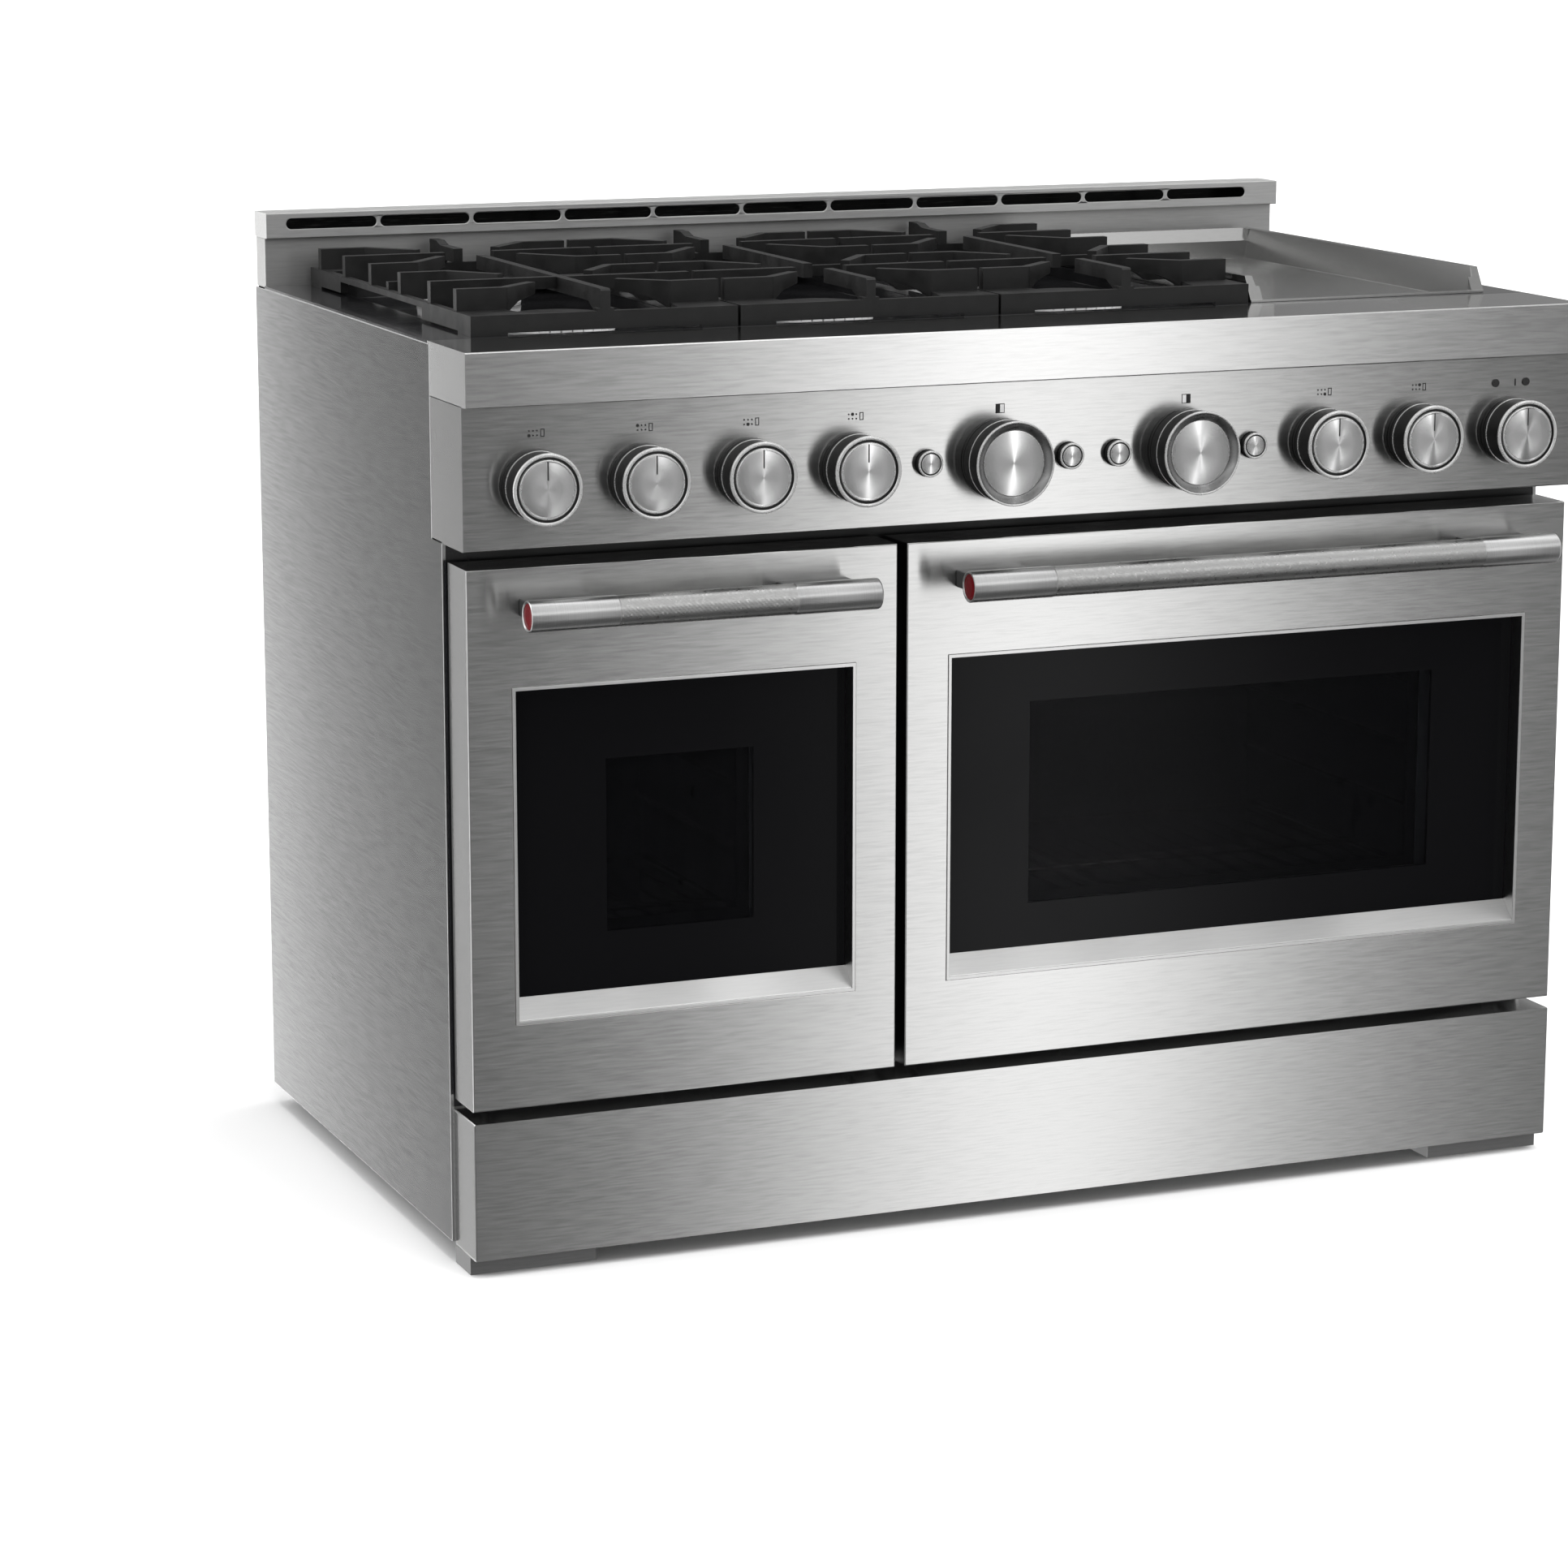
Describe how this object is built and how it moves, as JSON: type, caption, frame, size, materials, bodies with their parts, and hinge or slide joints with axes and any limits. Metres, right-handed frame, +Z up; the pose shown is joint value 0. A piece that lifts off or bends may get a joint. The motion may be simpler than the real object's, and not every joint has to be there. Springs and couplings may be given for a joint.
{
  "type": "freestanding gas range",
  "caption": "Freestanding gas range: cast-iron grates and a griddle on top, a row of knobs, and two drop-down oven doors with bar handles over a toe kick.",
  "frame": {"origin": "centre of the footprint at floor level", "axes": "+Z up, -Y out of the front, +X to the right of a person facing the controls"},
  "size_m": [1.216, 0.768, 0.992],
  "materials": {
    "front_steel": "horizontally brushed, satin",
    "side_steel": "fine brushed, satin",
    "shield_steel": "satin, in shade",
    "galvanised_steel": "mill finish",
    "black_enamel": "gloss porcelain enamel",
    "oven_enamel": "speckled gloss enamel",
    "cast_iron": "matte enamelled",
    "burner_aluminium": "cast, bright",
    "griddle_steel": "ground",
    "knob_steel": "spun face, polished rim, dark barrel",
    "window_bead": "bright",
    "black_glass": "dark, polished",
    "handle_steel": "satin sleeves, knurled grip",
    "red_medallion": "gloss enamel",
    "post_black": "satin",
    "gasket": "woven, matte",
    "insulation": "loose mineral wool",
    "brass": "machined",
    "pipe_steel": "drawn",
    "switch_plastic": "moulded, dark",
    "rack_wire": "polished"
  },
  "bodies": {
    "chassis": {"base_frame": "galvanised_steel", "levelling_legs": "galvanised_steel", "leg_shields": "shield_steel", "side_panel_left": "side_steel", "side_panel_right": "side_steel", "rear_panel": "galvanised_steel", "face_frame": "black_enamel", "oven_liner_left": "oven_enamel", "oven_liner_right": "oven_enamel", "oven_insulation": "insulation", "door_gaskets": "gasket", "tube_burners": "pipe_steel", "landing_ledge": "front_steel", "control_panel": "front_steel", "toe_kick": "front_steel", "knob_bezels": "knob_steel", "gas_cocks": "brass", "switches_and_lamps": "switch_plastic", "gas_supply_pipes": "pipe_steel", "cooktop_pan": "black_enamel", "burner_bases": "burner_aluminium", "burner_caps": "cast_iron", "griddle": "griddle_steel", "backguard_riser": "front_steel", "vent_hood": "front_steel", "hinge_arms": "galvanised_steel"},
    "oven_door_left": {"door_skin_left": "front_steel", "window_surround_left": "window_bead", "door_glass_left": "black_glass", "door_liner_left": "oven_enamel", "handle_tube_left": "handle_steel", "handle_medallion_left": "red_medallion", "handle_posts_left": "post_black", "hinge_clevis_left": "galvanised_steel"},
    "oven_door_right": {"door_skin_right": "front_steel", "window_surround_right": "window_bead", "door_glass_right": "black_glass", "door_liner_right": "oven_enamel", "handle_tube_right": "handle_steel", "handle_medallion_right": "red_medallion", "handle_posts_right": "post_black", "hinge_clevis_right": "galvanised_steel"},
    "burner_knob_1_body": {"burner_knob_1": "knob_steel"},
    "burner_knob_2_body": {"burner_knob_2": "knob_steel"},
    "burner_knob_3_body": {"burner_knob_3": "knob_steel"},
    "burner_knob_4_body": {"burner_knob_4": "knob_steel"},
    "burner_knob_5_body": {"burner_knob_5": "knob_steel"},
    "burner_knob_6_body": {"burner_knob_6": "knob_steel"},
    "griddle_knob_body": {"griddle_knob": "knob_steel"},
    "oven_dial_left_body": {"oven_dial_left": "knob_steel"},
    "oven_dial_right_body": {"oven_dial_right": "knob_steel"},
    "push_button_1_body": {"push_button_1": "knob_steel"},
    "push_button_2_body": {"push_button_2": "knob_steel"},
    "push_button_3_body": {"push_button_3": "knob_steel"},
    "push_button_4_body": {"push_button_4": "knob_steel"},
    "grate_left_body": {"grate_left": "cast_iron"},
    "grate_middle_body": {"grate_middle": "cast_iron"},
    "grate_right_body": {"grate_right": "cast_iron"},
    "oven_rack_left_body": {"oven_rack_left": "rack_wire"},
    "oven_rack_right_body": {"oven_rack_right": "rack_wire"}
  },
  "joints": [
    {"name": "oven_door_left_hinge", "type": "hinge", "parent": "chassis", "child": "oven_door_left", "pos_m": [0, -0.3065, 0.181], "axis": [1, 0, 0], "range_deg": [0, 90], "stiffness_Nm_per_rad": 11},
    {"name": "oven_door_right_hinge", "type": "hinge", "parent": "chassis", "child": "oven_door_right", "pos_m": [0, -0.3065, 0.181], "axis": [1, 0, 0], "range_deg": [0, 90], "stiffness_Nm_per_rad": 17},
    {"name": "burner_knob_1_turn", "type": "hinge", "parent": "chassis", "child": "burner_knob_1_body", "pos_m": [-0.5342, -0.3315, 0.7834], "axis": [0, -1, 0], "range_deg": [0, 270]},
    {"name": "burner_knob_2_turn", "type": "hinge", "parent": "chassis", "child": "burner_knob_2_body", "pos_m": [-0.4242, -0.3315, 0.7834], "axis": [0, -1, 0], "range_deg": [0, 270]},
    {"name": "burner_knob_3_turn", "type": "hinge", "parent": "chassis", "child": "burner_knob_3_body", "pos_m": [-0.3143, -0.3315, 0.7834], "axis": [0, -1, 0], "range_deg": [0, 270]},
    {"name": "burner_knob_4_turn", "type": "hinge", "parent": "chassis", "child": "burner_knob_4_body", "pos_m": [-0.2045, -0.3315, 0.7834], "axis": [0, -1, 0], "range_deg": [0, 270]},
    {"name": "burner_knob_5_turn", "type": "hinge", "parent": "chassis", "child": "burner_knob_5_body", "pos_m": [0.3139, -0.3315, 0.7834], "axis": [0, -1, 0], "range_deg": [0, 270]},
    {"name": "burner_knob_6_turn", "type": "hinge", "parent": "chassis", "child": "burner_knob_6_body", "pos_m": [0.4239, -0.3315, 0.7834], "axis": [0, -1, 0], "range_deg": [0, 270]},
    {"name": "griddle_knob_turn", "type": "hinge", "parent": "chassis", "child": "griddle_knob_body", "pos_m": [0.534, -0.3315, 0.7834], "axis": [0, -1, 0], "range_deg": [0, 270]},
    {"name": "oven_dial_left_turn", "type": "hinge", "parent": "chassis", "child": "oven_dial_left_body", "pos_m": [-0.0484, -0.3315, 0.7834], "axis": [0, 1, 0], "range_deg": [0, 300]},
    {"name": "oven_dial_right_turn", "type": "hinge", "parent": "chassis", "child": "oven_dial_right_body", "pos_m": [0.1574, -0.3315, 0.7834], "axis": [0, 1, 0], "range_deg": [0, 300]},
    {"name": "push_button_1_press", "type": "slide", "parent": "chassis", "child": "push_button_1_body", "axis": [0, 1, 0], "range_m": [0, 0.003], "stiffness_N_per_m": 400, "springref_m": -0.001},
    {"name": "push_button_2_press", "type": "slide", "parent": "chassis", "child": "push_button_2_body", "axis": [0, 1, 0], "range_m": [0, 0.003], "stiffness_N_per_m": 400, "springref_m": -0.001},
    {"name": "push_button_3_press", "type": "slide", "parent": "chassis", "child": "push_button_3_body", "axis": [0, 1, 0], "range_m": [0, 0.003], "stiffness_N_per_m": 400, "springref_m": -0.001},
    {"name": "push_button_4_press", "type": "slide", "parent": "chassis", "child": "push_button_4_body", "axis": [0, 1, 0], "range_m": [0, 0.003], "stiffness_N_per_m": 400, "springref_m": -0.001},
    {"name": "grate_left_lift", "type": "slide", "parent": "chassis", "child": "grate_left_body", "axis": [0, 0, 1], "range_m": [0, 0.12]},
    {"name": "grate_middle_lift", "type": "slide", "parent": "chassis", "child": "grate_middle_body", "axis": [0, 0, 1], "range_m": [0, 0.12]},
    {"name": "grate_right_lift", "type": "slide", "parent": "chassis", "child": "grate_right_body", "axis": [0, 0, 1], "range_m": [0, 0.12]},
    {"name": "oven_rack_left_slide", "type": "slide", "parent": "chassis", "child": "oven_rack_left_body", "axis": [0, -1, 0], "range_m": [0, 0.025]},
    {"name": "oven_rack_right_slide", "type": "slide", "parent": "chassis", "child": "oven_rack_right_body", "axis": [0, -1, 0], "range_m": [0, 0.025]}
  ]
}
